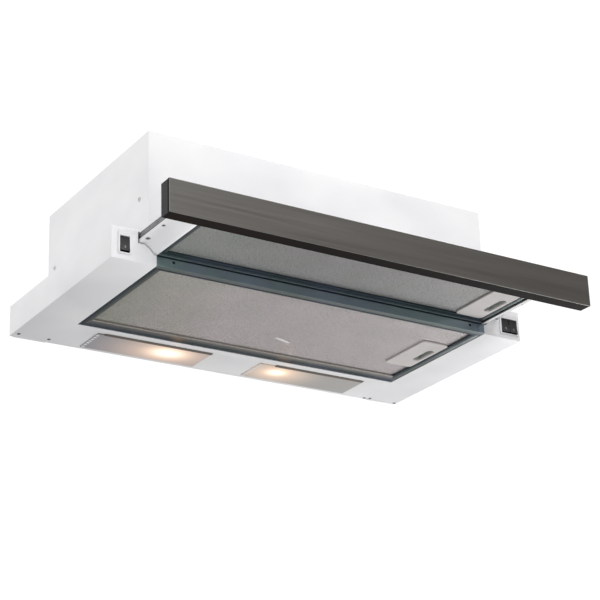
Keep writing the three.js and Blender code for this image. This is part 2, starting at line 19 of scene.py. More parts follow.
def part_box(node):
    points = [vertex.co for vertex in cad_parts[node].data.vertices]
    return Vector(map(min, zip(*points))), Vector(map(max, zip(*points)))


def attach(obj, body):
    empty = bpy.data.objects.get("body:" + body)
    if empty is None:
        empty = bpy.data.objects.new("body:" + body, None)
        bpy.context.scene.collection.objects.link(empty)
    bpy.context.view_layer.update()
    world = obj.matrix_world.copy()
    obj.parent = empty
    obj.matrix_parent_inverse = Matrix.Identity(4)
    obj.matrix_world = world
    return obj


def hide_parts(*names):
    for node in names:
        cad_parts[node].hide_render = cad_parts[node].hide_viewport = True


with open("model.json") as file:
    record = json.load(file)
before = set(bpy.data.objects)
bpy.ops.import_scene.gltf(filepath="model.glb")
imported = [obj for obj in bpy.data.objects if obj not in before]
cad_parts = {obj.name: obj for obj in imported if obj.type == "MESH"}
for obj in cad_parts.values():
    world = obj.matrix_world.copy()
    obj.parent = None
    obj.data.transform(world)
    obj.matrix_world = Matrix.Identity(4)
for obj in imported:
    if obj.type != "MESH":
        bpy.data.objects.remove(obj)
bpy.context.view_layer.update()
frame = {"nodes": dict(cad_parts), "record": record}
LOG = logging.getLogger("hood")
MM = 0.001

Tree = bpy.types.NodeTree
Node = bpy.types.Node
Socket = bpy.types.NodeSocket
Object = bpy.types.Object
Mesh = bmesh.types.BMesh
Corner = bmesh.types.BMVert
Edge = bmesh.types.BMEdge
Side = bmesh.types.BMFace

# Between these two values lies most of a smooth grain.
GRAIN_LOW, GRAIN_HIGH = 0.3, 0.7

# The filter foils carry painted shade at their left ends, a little darker and greener, fading out up to here.
FOIL_SHADE_FADE_MM = (-230.0, -50.0)


# ------------------------------------------------------------------ shared helpers


def linear(code: str) -> tuple[float, float, float, float]:
    """Turn an sRGB hex value into a linear colour.

    Args:
        code: six hex digits, such as "E9E9EA".

    Returns:
        Linear red, green and blue with an alpha of one.
    """
    values = [int(code[i : i + 2], 16) / 255 for i in (0, 2, 4)]
    flat = [v / 12.92 if v <= 0.04045 else ((v + 0.055) / 1.055) ** 2.4 for v in values]
    return (*flat, 1.0)


def feed(tree: Tree, node: Node, **links: Socket) -> None:
    """Link sockets to a node's inputs.

    Args:
        tree: the tree that holds the node.
        node: the node.
        **links: input names, with "_" for a blank, or "_" and a number, and their sources.
    """
    for key, source in links.items():
        name = int(key[1:]) if key[1:].isdigit() else key.replace("_", " ")
        tree.links.new(source, node.inputs[name])


def add_node(tree: Tree, kind: str, settings: dict | None = None, **links: Socket) -> Node:
    """Add a shader node with its settings and links.

    Args:
        tree: the node tree that takes the node.
        kind: the node's type name without its ShaderNode prefix.
        settings: attribute or input names with their values.
        **links: the sockets that feed it, named as feed takes them.

    Returns:
        The new node.
    """
    node = tree.nodes.new("ShaderNode" + kind)
    for key, value in (settings or {}).items():
        if isinstance(key, str) and hasattr(node, key):
            setattr(node, key, value)
        else:
            node.inputs[key].default_value = value
    feed(tree, node, **links)
    return node


def object_pattern(tree: Tree, cell_mm: Sequence[float]) -> Socket:
    """Object coordinates scaled so that one unit is one pattern cell.

    Args:
        tree: the material's node tree.
        cell_mm: the real size of a cell along X, Y and Z.

    Returns:
        The vector socket of the pattern's coordinates.
    """
    place = add_node(tree, "TexCoord").outputs["Object"]
    scale = [1 / (c * MM) for c in cell_mm]
    return add_node(tree, "Mapping", {"Scale": scale}, Vector=place).outputs["Vector"]


def grain(tree: Tree, cell_mm: Sequence[float], detail: float = 2.0, rough: float = 0.5) -> Socket:
    """Smooth irregular grain with cells of a real size.

    Args:
        tree: the material's node tree.
        cell_mm: the cell size along X, Y and Z.
        detail: the number of finer layers.
        rough: the share of each finer layer.

    Returns:
        The grain's value, about 0.5 on average.
    """
    settings = {"Scale": 1.0, "Detail": detail, "Roughness": rough}
    return add_node(tree, "TexNoise", settings, Vector=object_pattern(tree, cell_mm)).outputs["Fac"]


def tones(tree: Tree, value: Socket, *stops: tuple[float, str], over: Socket | None = None) -> Socket:
    """Colours spread over a value.

    Args:
        tree: the material's node tree.
        value: the value that picks the colour.
        *stops: positions with their hex colours.
        over: a colour that they tint.

    Returns:
        The colour socket.
    """
    node = add_node(tree, "ValToRGB", None, Fac=value)
    elements = node.color_ramp.elements
    while len(elements) < len(stops):
        elements.new(0.5)
    for element, (place, code) in zip(elements, stops):
        element.position = place
        element.color = linear(code)
    if over is None:
        return node.outputs["Color"]
    settings = {"data_type": "RGBA", "blend_type": "MULTIPLY", 0: 1.0}
    return add_node(tree, "Mix", settings, _6=over, _7=node.outputs["Color"]).outputs[2]


def along(tree: Tree, axis: str, start_mm: float, end_mm: float) -> Socket:
    """How far a point lies from one place on an axis to another.

    Args:
        tree: the material's node tree.
        axis: X, Y or Z.
        start_mm: where the share is nought.
        end_mm: where it is one.

    Returns:
        The share, held between nought and one.
    """
    place = add_node(tree, "TexCoord").outputs["Object"]
    axes = add_node(tree, "SeparateXYZ", None, Vector=place)
    ends = {1: start_mm * MM, 2: end_mm * MM}
    return add_node(tree, "MapRange", ends, Value=axes.outputs[axis]).outputs["Result"]


def foil_left_shade(tree: Tree, colour: Socket, left: str) -> Socket:
    """Paint shade on a foil at its left end, a little darker and greener, with none from its middle on.

    Args:
        tree: the material's node tree.
        colour: the foil's colour.
        left: the colour of the painted shade at the left end.

    Returns:
        The colour with the painted shade.
    """
    share = along(tree, "X", *FOIL_SHADE_FADE_MM)
    return tones(tree, share, (0.0, left), (1.0, "FFFFFF"), over=colour)


# ------------------------------------------------------------------ finishes


@dataclass(frozen=True)
class Finish:
    """A real material with the way its surface was made."""

    name: str
    colour: str
    roughness: float = 0.4
    metallic: float = 0.0
    ior: float | None = None

    def material(self) -> bpy.types.Material:
        """Make the material the first time, and find it after that.

        Returns:
            The material.
        """
        found = bpy.data.materials.get(self.name)
        if found is not None:
            return found
        made = bpy.data.materials.new(self.name)
        made.use_nodes = True
        shader = made.node_tree.nodes["Principled BSDF"]
        shader.inputs["Base Color"].default_value = linear(self.colour)
        shader.inputs["Roughness"].default_value = self.roughness
        shader.inputs["Metallic"].default_value = self.metallic
        if self.ior is not None:
            shader.inputs["IOR"].default_value = self.ior
        self.dress(made.node_tree, shader)
        return made

    def dress(self, tree: Tree, shader: Node) -> None:
        """Add the surface detail; a plain finish has none."""

    def gloss(self, tree: Tree, shader: Node, value: Socket, less: float = 0.05, more: float = 0.05) -> None:
        """Let the roughness follow a grain.

        Args:
            tree: the material's node tree.
            shader: its shader.
            value: the grain.
            less: how far the roughness falls below the finish's own.
            more: how far it rises above that.
        """
        settings = {1: GRAIN_LOW, 2: GRAIN_HIGH, 3: self.roughness - less, 4: self.roughness + more}
        feed(tree, shader, Roughness=add_node(tree, "MapRange", settings, Value=value).outputs["Result"])

    def relief(self, tree: Tree, shader: Node, height: Socket, depth_mm: float, strength: float) -> None:
        """Let the surface rise and fall with a grain.

        Args:
            tree: the material's node tree.
            shader: its shader.
            height: the grain, from 0 to 1.
            depth_mm: the height of one unit.
            strength: how much of the relief is used.
        """
        settings = {"Strength": strength, "Distance": depth_mm * MM}
        feed(tree, shader, Normal=add_node(tree, "Bump", settings, Height=height).outputs["Normal"])


@dataclass(frozen=True)
class CoilCoatedSteel(Finish):
    """White polyester enamel baked on steel strip.

    The eye sees an even white with a faint orange peel and a soft satin shine.
    """

    ior: float = 1.5
    shade: str = "E4E4E6"
    peel_mm: float = 2.2

    def dress(self, tree: Tree, shader: Node) -> None:
        """Orange peel, slow tone drift and uneven gloss.

        Args:
            tree: the material's node tree.
            shader: its shader.
        """
        drift = grain(tree, (140, 140, 90))
        feed(tree, shader, Base_Color=tones(tree, drift, (0.35, self.shade), (0.65, self.colour)))
        self.gloss(tree, shader, grain(tree, (26, 26, 26), 3))
        self.relief(tree, shader, grain(tree, (self.peel_mm,) * 3, 1), 0.03, 0.5)


@dataclass(frozen=True)
class BrushedStainless(Finish):
    """Stainless sheet brushed along its length.

    The eye sees fine long streaks, and highlights that spread across them. The streaks are
    drawn 1 mm apart, because real ones at 0.1 mm would not show.
    """

    metallic: float = 1.0
    shade: str = "6E6C69"
    streak_mm: float = 1.0
    run_mm: float = 160.0

    def dress(self, tree: Tree, shader: Node) -> None:
        """Fine and broad streaks in tone, gloss and relief.

        Args:
            tree: the material's node tree.
            shader: its shader.
        """
        fine = grain(tree, (self.run_mm, self.streak_mm, self.streak_mm), 3, 0.6)
        broad = grain(tree, (self.run_mm * 2.5, self.streak_mm * 7, self.streak_mm * 7), 2)
        mixed = add_node(tree, "Mix", {"Factor": 0.4, "data_type": "FLOAT"}, _2=fine, _3=broad)
        value = mixed.outputs[0]
        feed(tree, shader, Base_Color=tones(tree, value, (0.35, self.shade), (0.65, self.colour)))
        self.gloss(tree, shader, value, 0.04, 0.04)
        self.relief(tree, shader, fine, 0.012, 0.25)


@dataclass(frozen=True)
class TintedMetal(Finish):
    """Steel or aluminium under a thin coloured layer, such as passivated zinc.

    The eye sees a cool metal whose tint drifts between blue and green along its length.
    """

    metallic: float = 0.75
    second: str = "4E6672"
    third: str = "5B6A7C"
    drift_mm: float = 55.0

    def dress(self, tree: Tree, shader: Node) -> None:
        """Slow drift of tint, cloudy gloss and a fine rolled grain.

        Args:
            tree: the material's node tree.
            shader: its shader.
        """
        drift = grain(tree, (self.drift_mm,) * 3, 1)
        stops = ((0.32, self.colour), (0.5, self.second), (0.68, self.third))
        feed(tree, shader, Base_Color=tones(tree, drift, *stops))
        self.gloss(tree, shader, grain(tree, (9, 9, 9), 3), 0.07, 0.07)
        self.relief(tree, shader, grain(tree, (12, 0.8, 0.8), 2), 0.02, 0.3)


@dataclass(frozen=True)
class FrameBarPaintedLight(TintedMetal):
    """A frame bar painted with light and shade across it, in place of a rounded crest.

    The eye sees a painted highlight at one edge that darkens evenly into painted shade at the other one.
    """

    second: str = "434C50"
    third: str = "484F58"
    # The colour of the painted highlight.
    pale: str = "A09B95"
    axis: str = "X"
    fade_mm: tuple[float, float] = (-96.0, -82.0)

    def dress(self, tree: Tree, shader: Node) -> None:
        """The tinted metal, with a painted highlight where the fade starts.

        Args:
            tree: the material's node tree.
            shader: its shader.
        """
        super().dress(tree, shader)
        tint = shader.inputs["Base Color"].links[0].from_socket
        share = along(tree, self.axis, *reversed(self.fade_mm))
        mixed = add_node(tree, "Mix", {"data_type": "RGBA", 7: linear(self.pale)}, _0=share, _6=tint)
        feed(tree, shader, Base_Color=mixed.outputs[2])


@dataclass(frozen=True)
class RolledSteel(Finish):
    """Bare cold-rolled or drawn steel.

    The eye sees a mid grey metal with short roll marks and a little mottling.
    """

    metallic: float = 1.0
    shade: str = "565658"
    roll_mm: tuple[float, float, float] = (1.2, 30.0, 1.2)

    def dress(self, tree: Tree, shader: Node) -> None:
        """Roll marks and mottled gloss.

        Args:
            tree: the material's node tree.
            shader: its shader.
        """
        rolled = grain(tree, self.roll_mm, 3)
        feed(tree, shader, Base_Color=tones(tree, rolled, (0.35, self.shade), (0.65, self.colour)))
        self.gloss(tree, shader, grain(tree, (7, 7, 7), 2), 0.06, 0.08)
        self.relief(tree, shader, rolled, 0.02, 0.3)


@dataclass(frozen=True)
class AluminiumStrand(Finish):
    """Slit and stretched aluminium foil.

    The eye sees thin bright strands, each a little different in shine.
    """

    metallic: float = 1.0
    shade: str = "8C8A86"
    # The colour of the painted shade at the left end.
    left: str = "EDF2EA"

    def dress(self, tree: Tree, shader: Node) -> None:
        """Strand-to-strand change of tone and gloss.

        Args:
            tree: the material's node tree.
            shader: its shader.
        """
        strand = grain(tree, (3, 2, 3), 1)
        tone = tones(tree, strand, (0.3, self.shade), (0.7, self.colour))
        # Painted shade at the left end of the foil.
        feed(tree, shader, Base_Color=foil_left_shade(tree, tone, self.left))
        self.gloss(tree, shader, strand, -0.1, -0.06)


@dataclass(frozen=True)
class AluminiumPack(Finish):
    """Several crossed layers of expanded aluminium pressed together.

    The eye sees a dense grey felt of tiny cells, with painted shade in the openings between the
    strands, and slow waves where the layers bulge.
    """

    metallic: float = 0.7
    # The colour of the cell middles: painted shade in the openings between the strands.
    hole_shade: str = "4A4844"
    # The colour of the painted shade at the left end.
    left: str = "EDF2EA"
    cell_mm: tuple[float, float, float] = (4.2, 2.8, 4.2)
    layers: tuple[tuple[float, float], ...] = ((0.35, 1.0), (-0.5, 0.72))

    def dress(self, tree: Tree, shader: Node) -> None:
        """Cells with bright edges and painted shade in their middles, and broad waves in tone.

        Args:
            tree: the material's node tree.
            shader: its shader.
        """
        edges = []
        for turn, scale in self.layers:
            cell = object_pattern(tree, [c * scale for c in self.cell_mm])
            turned = add_node(tree, "Mapping", {"Rotation": (0, 0, turn)}, Vector=cell)
            settings = {"feature": "DISTANCE_TO_EDGE", "Scale": 1.0, "Randomness": 0.45}
            cells = add_node(tree, "TexVoronoi", settings, Vector=turned.outputs["Vector"])
            fall = {1: 0.04, 2: 0.28, 3: 1.0, 4: 0.0}
            edge = add_node(tree, "MapRange", fall, Value=cells.outputs["Distance"])
            edges.append(edge.outputs["Result"])
        high = add_node(tree, "Math", {"operation": "MAXIMUM"}, _0=edges[0], _1=edges[1])
        height = high.outputs["Value"]
        # Painted shade in the cell middles, bright strand edges.
        tone = tones(tree, height, (0.0, self.hole_shade), (0.9, self.colour))
        waved = tones(tree, grain(tree, (60, 45, 60), 2), (0.3, "EAECE6"), (0.7, "FFFAFC"), over=tone)
        # Painted shade at the left end of the foil.
        feed(tree, shader, Base_Color=foil_left_shade(tree, waved, self.left))
        self.relief(tree, shader, height, 0.3, 0.6)


@dataclass(frozen=True)
class MouldedPlastic(Finish):
    """Injection-moulded plastic with a spark-eroded grain.

    The eye sees an even colour with a fine pebble that breaks up the shine.
    """

    ior: float = 1.54
    shade: str = "808080"
    grain_mm: float = 0.9
    specular: float = 0.5

    def dress(self, tree: Tree, shader: Node) -> None:
        """Pebble grain, and a slow change of tone and gloss.

        Args:
            tree: the material's node tree.
            shader: its shader.
        """
        shader.inputs["Specular IOR Level"].default_value = self.specular
        drift = grain(tree, (40, 40, 40), 2)
        feed(tree, shader, Base_Color=tones(tree, drift, (0.3, self.shade), (0.7, self.colour)))
        self.gloss(tree, shader, drift)
        self.relief(tree, shader, grain(tree, (self.grain_mm,) * 3, 2), 0.04, 0.5)


@dataclass(frozen=True)
class GlowSpot:
    """Where a bulb shines through, the two sizes of its glow, and how much longer it is along X."""

    x_mm: float
    y_mm: float
    core_mm: float = 30.0
    halo_mm: float = 84.0
    longer: float = 1.5


@dataclass(frozen=True)
class FrostedDiffuser(Finish):
    """Polystyrene lamp cover with a fine prism texture, lit from behind.

    The eye sees a grey milky sheet that turns warm and bright over the bulb.
    """

    ior: float = 1.59
    spot: GlowSpot = GlowSpot(-92, -38, 32)
    core: str = "FFF3E0"
    halo: str = "FFD2A8"
    halo_share: float = 0.8
    prism_mm: float = 2.6

    def glow(self, tree: Tree, radius_mm: float) -> Socket:
        """Brightness that falls off from the bulb.

        Args:
            tree: the material's node tree.
            radius_mm: the distance at which it reaches nothing.

        Returns:
            One at the bulb, nought beyond the radius.
        """
        spot = self.spot
        place = add_node(tree, "TexCoord").outputs["Object"]
        flat = add_node(tree, "Mapping", {"Scale": (1 / spot.longer, 1, 0)}, Vector=place)
        centre = (spot.x_mm * MM / spot.longer, spot.y_mm * MM, 0.0)
        away = add_node(
            tree, "VectorMath", {"operation": "DISTANCE", 1: centre}, _0=flat.outputs["Vector"]
        )
        ends = {2: radius_mm * MM, 3: 1.0, 4: 0.0}
        fall = add_node(tree, "MapRange", ends, Value=away.outputs["Value"]).outputs["Result"]
        return add_node(tree, "Math", {"operation": "POWER", 1: 2.0}, _0=fall).outputs["Value"]

    def dress(self, tree: Tree, shader: Node) -> None:
        """Prism relief and the bulb's glow.

        Args:
            tree: the material's node tree.
            shader: its shader.
        """
        core = self.glow(tree, self.spot.core_mm)
        halo = self.glow(tree, self.spot.halo_mm)
        ends = {"data_type": "RGBA", 6: linear(self.halo), 7: linear(self.core)}
        colour = add_node(tree, "Mix", ends, _0=core).outputs[2]
        settings = {"operation": "MULTIPLY_ADD", 1: self.halo_share}
        total = add_node(tree, "Math", settings, _0=halo, _2=core).outputs["Value"]
        feed(tree, shader, Emission_Color=colour, Emission_Strength=total)
        prism = grain(tree, (self.prism_mm,) * 3, 1)
        self.relief(tree, shader, prism, 0.15, 0.4)
        self.gloss(tree, shader, prism, 0.05, 0.1)


@dataclass(frozen=True)
class OpalGlass(Finish):
    """Blown glass with an opal coat inside, lit by its filament.

    The eye sees a warm white bulb, a little brighter at its belly.
    """

    ior: float = 1.52
    light: str = "FFD9A8"
    strength: tuple[float, float] = (2.5, 4.0)

    def dress(self, tree: Tree, shader: Node) -> None:
        """Cloudy coat that lets uneven light through.

        Args:
            tree: the material's node tree.
            shader: its shader.
        """
        low, high = self.strength
        settings = {1: GRAIN_LOW, 2: GRAIN_HIGH, 3: low, 4: high}
        cloud = add_node(tree, "MapRange", settings, Value=grain(tree, (14, 14, 14), 1))
        feed(tree, shader, Emission_Strength=cloud.outputs["Result"])
        shader.inputs["Emission Color"].default_value = linear(self.light)


class Look(Enum):
    """Every finish on the hood, and the floor's."""

    ENAMEL = CoilCoatedSteel("polyester_coil_coated_steel_white", "EFEFF0", 0.38)
    STAINLESS = BrushedStainless("stainless_steel_brushed", "959490", 0.36, shade="8D8C88")
    ZINC = TintedMetal("zinc_blue_passivated", "84989C", 0.38, 0.8, second="82929A", third="8896A4")
    FRAME = TintedMetal("aluminium_rolled_frame_dark", "39474A", 0.36, second="434F57", third="4C5463")
    # A darker grey copy of the rail's metal for its downward faces: painted shade.
    RAIL_UNDERSIDE_SHADE = TintedMetal("zinc_rail_underside_painted_shade", "747E7A", 0.4, second="7A827E", third="7E8486")
    # Frame bars with painted light and shade: the left bar dark at its outer edge, the right bar pale at its
    # outer edge, the rear bar dark at its rear edge; each fades to the other tone.
    FRAME_LEFT = FrameBarPaintedLight("aluminium_rolled_frame_left", "39474A", 0.38, pale="82827C", fade_mm=(-228, -236))
    FRAME_RIGHT = FrameBarPaintedLight("aluminium_rolled_frame_right", "39474A", 0.38, pale="868C8C", fade_mm=(238, 231))
    FRAME_REAR = FrameBarPaintedLight(
        "aluminium_frame_rear_painted_light", "39474A", 0.38, second="434F57", third="4C5463", axis="Y"
    )
    STEEL = RolledSteel("steel_cold_rolled", "8A8A8C", 0.4, shade="6E6E70")
    MOTOR_CAN = RolledSteel("steel_drawn_can", "96969A", 0.36, roll_mm=(14.0, 1.0, 1.0))
    PAINTED_SCREW = RolledSteel(
        "steel_zinc_plated_screw", "D2D2D0", 0.4, shade="BEBEBC", roll_mm=(0.6, 0.6, 0.6)
    )
    BLACK_SCREW = RolledSteel("steel_blacked_screw", "34383A", 0.4, shade="26292B", roll_mm=(0.6, 0.6, 0.6))
    STRAND = AluminiumStrand("aluminium_expanded_strand", "EBE7E7", 0.42, shade="D6D2D2")
    PACK = AluminiumPack("aluminium_mesh_pack", "E1DCDE", 0.5, hole_shade="A6A1A1")
    # A brighter copy of the strand metal: a painted highlight.
    STRAND_HIGHLIGHT = AluminiumStrand("aluminium_strand_painted_highlight", "F2F1EF", 0.6, shade="E8E7E5")
    # The drawer filter's strands and pack are darker copies of the body filter's: painted shade.
    STRAND_SHADED = AluminiumStrand("aluminium_strand_painted_shade", "C6C6C5", 0.46, shade="B3B3B3", left="FCFFFC")
    PACK_SHADED = AluminiumPack("aluminium_pack_painted_shade", "BFBFBF", 0.52, hole_shade="909090", left="FCFFFC")
    HANDLE = MouldedPlastic("abs_moulded_light_grey", "CCC7C5", 0.42, shade="C6C1BF")
    LATCH = MouldedPlastic("acetal_moulded_grey", "B0B6B0", 0.4, shade="A6ACA6", ior=1.48)
    KEY = MouldedPlastic("polycarbonate_moulded_black", "1A1A1B", 0.5, shade="141415", ior=1.58, specular=0.3)
    BEZEL = MouldedPlastic("abs_moulded_white", "E8E8EA", 0.34, shade="E2E2E4")
    MARK = MouldedPlastic("ink_pad_printed_grey", "8E8E8E", 0.5, shade="7E7E7E")
    TRIM = MouldedPlastic("abs_moulded_dark_grey", "17110E", 0.6, shade="120D0B", specular=0.06)
    CAP = MouldedPlastic("abs_moulded_mid_grey", "2E2E2E", 0.5, shade="292929", specular=0.15)
    DUCT = MouldedPlastic("polypropylene_moulded_black", "1B1B1C", 0.42, shade="151516", ior=1.49)
    FOAM = MouldedPlastic("neoprene_foam_grey", "6E665E", 0.8, shade="5F5952", grain_mm=0.6, ior=1.45)
    CERAMIC = MouldedPlastic("steatite_pressed", "DAD6CC", 0.5, shade="CFCBC0", ior=1.6)
    CAN = MouldedPlastic("polypropylene_can_grey", "C6C6C4", 0.36, shade="BCBCBA", ior=1.49)
    DIFFUSER_LEFT = FrostedDiffuser("polystyrene_frosted_diffuser_left", "A1A0A5", 0.36)
    # The right cover's base colour is painted lighter and warmer than the left's: painted light.
    DIFFUSER_RIGHT = FrostedDiffuser(
        "polystyrene_frosted_diffuser_right", "B2AFAC", 0.36, spot=GlowSpot(75, -39, 20, 66, 1.3)
    )
    OPAL = OpalGlass("glass_opal_bulb", "FFF1DC", 0.2)
    FLOOR = Finish("floor_matt_paint", "B0B0B0", 0.9)


# ------------------------------------------------------------------ workshop


@dataclass(frozen=True)
class Span:
    """The box of a CAD node at rest."""

    lo: Vector
    hi: Vector

    @classmethod
    def of(cls, node: str) -> "Span":
        """Read a node's box from the frame."""
        return cls(*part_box(node))

    @property
    def mid(self) -> Vector:
        """The middle of the box."""
        return (self.lo + self.hi) / 2


BODY_OF = {
    node: body
    for body, members in frame["record"]["behaviour"]["bodies"].items()
    for node in members
}
SLOT_OF = {row["node"]: row["material_slot"] for row in frame["record"]["subparts"]}


def everything(bm: Mesh) -> list:
    """All corners, edges and faces of a mesh."""
    return bm.verts[:] + bm.edges[:] + bm.faces[:]


def corners(made: dict) -> list[Corner]:
    """The corners among what an operator made."""
    return [g for g in made["geom"] if isinstance(g, Corner)]


def sides(made: dict) -> list[Side]:
    """The faces among what an operator made."""
    return [g for g in made["geom"] if isinstance(g, Side)]


def bevel(bm: Mesh, edges: Iterable[Edge], width_mm: float, segments: int) -> None:
    """Round edges.

    Args:
        bm: the mesh.
        edges: the edges to round.
        width_mm: the bevel's width.
        segments: the number of steps.
    """
    bmesh.ops.bevel(
        bm,
        geom=list(edges),
        offset=width_mm * MM,
        offset_type="OFFSET",
        affect="EDGES",
        segments=segments,
        profile=0.5,
        clamp_overlap=True,
        material=-1,
    )


def block(bm: Mesh, place: Matrix, edge_mm: float, segments: int = 1) -> None:
    """Add a block with rounded edges.

    Args:
        bm: the mesh that takes it.
        place: what turns a unit cube into the block.
        edge_mm: the size of its rounding.
        segments: the number of steps in the rounding.
    """
    made = bmesh.ops.create_cube(bm, size=1.0)
    bmesh.ops.transform(bm, matrix=place, verts=made["verts"])
    bevel(bm, dict.fromkeys(e for v in made["verts"] for e in v.link_edges), edge_mm, segments)


def bar(bm: Mesh, lo: Vector, hi: Vector, edge_mm: float) -> None:
    """Add a straight bar with rounded edges.

    Args:
        bm: the mesh that takes it.
        lo: its lowest corner.
        hi: its highest corner.
        edge_mm: the size of its rounding.
    """
    block(bm, Matrix.Translation((lo + hi) / 2) @ Matrix.Diagonal((*(hi - lo), 1)), edge_mm, 2)


def place_object(name: str, data: bpy.types.ID) -> Object:
    """Make an object and put it in the scene.

    Args:
        name: the object's name.
        data: its mesh, light or camera.

    Returns:
        The new object.
    """
    made = bpy.data.objects.new(name, data)
    bpy.context.scene.collection.objects.link(made)
    return made


class Workshop:
    """Turns a bmesh into a finished piece that rides on a body."""

    SHARP_DEG = 24.0
    MERGE_MM = 0.002
    FLAT_DEG = 0.6

    def piece(self, name: str, bm: Mesh, body: str, slot: str, *looks: Look) -> Object:
        """Finish a mesh and fix it to its body.

        Args:
            name: the piece's name.
            bm: its mesh in the row frame; it is freed here.
            body: the CAD body that carries it.
            slot: the record's material slot; not used.
            *looks: its finishes, in the order of its faces' material numbers.

        Returns:
            The new object.
        """
        for face in bm.faces:
            face.smooth = True
        mesh = bpy.data.meshes.new(name)
        bm.to_mesh(mesh)
        bm.free()
        mesh.set_sharp_from_angle(angle=math.radians(self.SHARP_DEG))
        for look in looks:
            mesh.materials.append(look.value.material())
        made = place_object(name, mesh)
        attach(made, body)
        LOG.info("%s on %s: %d faces", name, body, len(mesh.polygons))
        return made

    def stand_in(self, node: str, bm: Mesh, *looks: Look) -> None:
        """Finish a mesh that takes the place of a CAD node.

        Args:
            node: the CAD node.
            bm: its mesh; it is freed here.
            *looks: its finishes, in the order of its faces' material numbers.
        """
        made = self.piece(node + "_piece", bm, BODY_OF[node], SLOT_OF[node], *looks)
        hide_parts(node)

    def copy_of(self, node: str) -> Mesh:
        """Copy a CAD node's mesh, with its triangles joined back into flat faces.

        Args:
            node: the CAD node.

        Returns:
            A clean closed mesh.
        """
        bm = bmesh.new()
        bm.from_mesh(frame["nodes"][node].data)
        bmesh.ops.remove_doubles(bm, verts=bm.verts, dist=self.MERGE_MM * MM)
        flat = math.radians(self.FLAT_DEG)
        bmesh.ops.dissolve_limit(
            bm, angle_limit=flat, verts=bm.verts, edges=bm.edges, use_dissolve_boundaries=False
        )
        return bm

    def round_edges(
        self,
        bm: Mesh,
        width_mm: float,
        segments: int = 2,
        only: Callable[[Edge], bool] | None = None,
        least_deg: float = 30.0,
    ) -> None:
        """Bevel the sharp edges of a mesh.

        Args:
            bm: the mesh.
            width_mm: the bevel's width.
            segments: the number of steps.
            only: a test that an edge also has to pass.
            least_deg: the smallest angle that counts as sharp.
        """
        least = math.radians(least_deg)
        sharp = [e for e in bm.edges if e.is_manifold and e.calc_face_angle(0) > least]
        bevel(bm, [e for e in sharp if only is None or only(e)], width_mm, segments)


SHOP = Workshop()


@dataclass(frozen=True)
class Recipe:
    """How a CAD node becomes a finished piece."""

    node: str
    look: Look
    edge_mm: float = 0.25
    fold_mm: float = 0.0
    # A second finish for the downward faces; the front rail uses it for painted shade.
    under: Look | None = None


@dataclass(frozen=True)
class FinishedNodes:
    """Pieces rebuilt from the CAD solids, with folded or moulded edges."""

    recipes: tuple[Recipe, ...]
    near_mm: float = 0.05
    sharp_deg: float = 50.0
    downward: float = -0.7

    def outer_fold(self, node: str) -> Callable[[Edge], bool]:
        """Test for the outer edges of a folded box.

        Args:
            node: the CAD node.

        Returns:
            A function that is true for an edge along the node's box.
        """
        span = Span.of(node)

        def on_box(edge: Edge) -> bool:
            """Whether both ends of an edge lie on the same two sides of the box.

            Args:
                edge: the edge.

            Returns:
                True along the box.
            """
            limits = [(axis, end[axis]) for axis in range(3) for end in (span.lo, span.hi)]
            near = self.near_mm * MM
            return 2 <= sum(all(abs(v.co[a] - limit) < near for v in edge.verts) for a, limit in limits)

        return on_box

    def build(self) -> None:
        """Make every piece."""
        for recipe in self.recipes:
            bm = SHOP.copy_of(recipe.node)
            if recipe.fold_mm:
                SHOP.round_edges(bm, recipe.fold_mm, 3, self.outer_fold(recipe.node))
            if recipe.edge_mm:
                SHOP.round_edges(bm, recipe.edge_mm, least_deg=self.sharp_deg)
            looks = [look for look in (recipe.look, recipe.under) if look is not None]
            for face in bm.faces:
                face.material_index = int(len(looks) > 1 and face.normal.z < self.downward)
            SHOP.stand_in(recipe.node, bm, *looks)


def alike(look: Look, edge_mm: float, *nodes: str) -> tuple[Recipe, ...]:
    """Recipes for several nodes with one finish and one edge."""
    return tuple(Recipe(node, look, edge_mm) for node in nodes)


def twins(*names: str) -> tuple[str, ...]:
    """The left and the right node of each name."""
    return tuple(name + side for name in names for side in ("_left", "_right"))


